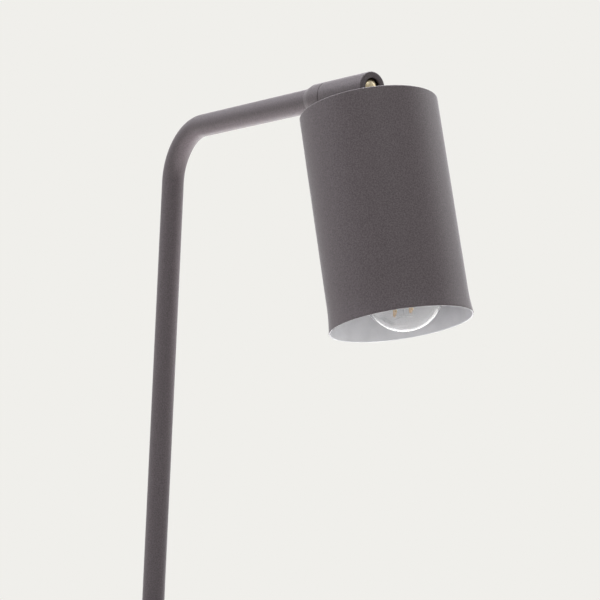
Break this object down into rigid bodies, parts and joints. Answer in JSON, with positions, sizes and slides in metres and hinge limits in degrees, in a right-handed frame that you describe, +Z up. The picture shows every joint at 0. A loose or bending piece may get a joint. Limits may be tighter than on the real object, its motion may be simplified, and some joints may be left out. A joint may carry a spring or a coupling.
{
  "type": "architect desk lamp",
  "caption": "Desk lamp with a bent tube arm on a round weighted base and a cylinder shade on a swivel knuckle that turns and tilts.",
  "frame": {"origin": "centre of the round base's underside, on the desk", "axes": "+Z up, +X along the arm from the stem towards the shade"},
  "size_m": [0.3937, 0.18, 0.5002],
  "materials": {
    "lamp_paint": "fine textured powder coat, mauve grey, matte",
    "shade_paint": "fine textured powder coat outside, smooth satin white inside",
    "cast_iron": "rough casting, black primer",
    "zinc_steel": "bright zinc plate",
    "brass": "polished",
    "felt": "pressed felt",
    "black_plastic": "fine matt moulding",
    "lead_sleeve": "smooth sleeve",
    "ceramic": "glazed porcelain",
    "glass": "clear",
    "phosphor": "yellow phosphor coat",
    "insulator": "black vitrite",
    "cap_shell": "bright rolled shell"
  },
  "bodies": {
    "base": {"base_cover": "lamp_paint", "base_weight": "cast_iron", "bottom_plate": "zinc_steel", "felt_pad": "felt", "plate_screw_1": "zinc_steel", "plate_screw_2": "zinc_steel", "plate_screw_3": "zinc_steel", "foot_plug": "zinc_steel", "base_rod": "zinc_steel", "base_nut": "zinc_steel", "base_washer": "zinc_steel", "cord_gland": "black_plastic", "cord_clamp": "black_plastic", "clamp_screw_left": "zinc_steel", "clamp_screw_right": "zinc_steel", "stem_tube": "lamp_paint", "lead_stem": "lead_sleeve", "arm_collar": "lamp_paint", "swivel_spigot": "zinc_steel", "swivel_washer_outer": "black_plastic", "swivel_washer_inner": "zinc_steel", "swivel_nut": "zinc_steel"},
    "knuckle": {"knuckle": "lamp_paint", "pivot_screw": "zinc_steel", "pivot_pin": "zinc_steel", "lead_knuckle": "lead_sleeve"},
    "head": {"pivot_ball": "brass", "neck_rod": "brass", "neck_sleeve": "lamp_paint", "shade": "shade_paint", "shade_washer": "zinc_steel", "shade_nut": "brass", "lead_head": "lead_sleeve", "holder_cap": "black_plastic", "holder_grub_screw": "zinc_steel", "holder_skirt": "black_plastic", "contact_block": "ceramic", "thread_shell": "brass", "centre_contact": "brass", "terminal_screw_left": "zinc_steel", "terminal_screw_right": "zinc_steel", "conductor_left": "lead_sleeve", "conductor_right": "lead_sleeve"},
    "bulb": {"cap_contact": "zinc_steel", "cap_insulator": "insulator", "bulb_cap": "cap_shell", "bulb_glass": "glass", "glass_mount": "glass", "led_filament_1": "phosphor", "led_filament_2": "phosphor", "led_filament_3": "phosphor", "led_filament_4": "phosphor", "filament_frame": "zinc_steel"}
  },
  "joints": [
    {"name": "knuckle_turn", "type": "hinge", "parent": "base", "child": "knuckle", "pos_m": [0.2137, 0, 0.489], "axis": [1, 0, 0], "range_deg": [-165, 165]},
    {"name": "shade_tilt", "type": "hinge", "parent": "knuckle", "child": "head", "pos_m": [0.2137, 0, 0.489], "axis": [0, -0.9978, -0.067], "range_deg": [-17, 78]},
    {"name": "bulb_out", "type": "slide", "parent": "head", "child": "bulb", "axis": [0.2357, 0.1045, -0.9662], "range_m": [0, 0.12]}
  ]
}
